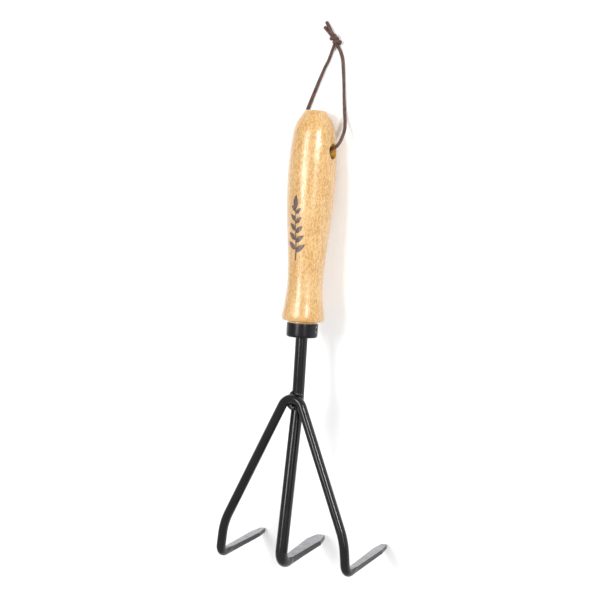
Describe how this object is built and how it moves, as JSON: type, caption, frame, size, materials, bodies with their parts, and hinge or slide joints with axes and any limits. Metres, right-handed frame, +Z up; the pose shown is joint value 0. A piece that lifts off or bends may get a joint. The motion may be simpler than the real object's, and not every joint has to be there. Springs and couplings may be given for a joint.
{
  "type": "hand rake",
  "caption": "Hand cultivator with bent steel tines, forged prongs and a turned wooden handle with a leather hanging loop.",
  "frame": {"origin": "on the table under the middle of the rake without its lanyard, as it lies on its prong tips and its handle's shoulder", "axes": "+Y along the rake towards the handle's butt, +Z up away from the table, +X across the head, to the right when seen from the prongs' end towards the handle"},
  "size_m": [0.101, 0.3563, 0.0642],
  "materials": {
    "wood": "gloss lacquer",
    "black_ferrule": "semi-gloss",
    "nail_steel": "semi-gloss",
    "black_steel": "semi-gloss",
    "black_weld": "semi-gloss",
    "lace": "satin"
  },
  "bodies": {
    "rake": {"handle": "wood", "ferrule": "black_ferrule", "ferrule_nail": "nail_steel", "centre_rod": "black_steel", "outer_tine_rod": "black_steel", "weld_left": "black_weld", "weld_right": "black_weld", "weld_crotch": "black_weld"},
    "lanyard": {"lanyard_loop": "lace", "lanyard_knot": "lace", "lanyard_tails": "lace"}
  },
  "joints": [
    {"name": "lanyard_swing", "type": "hinge", "parent": "rake", "child": "lanyard", "pos_m": [0, 0.12297, 0.01528], "axis": [1, 0, 0], "range_deg": [0, 150]}
  ]
}
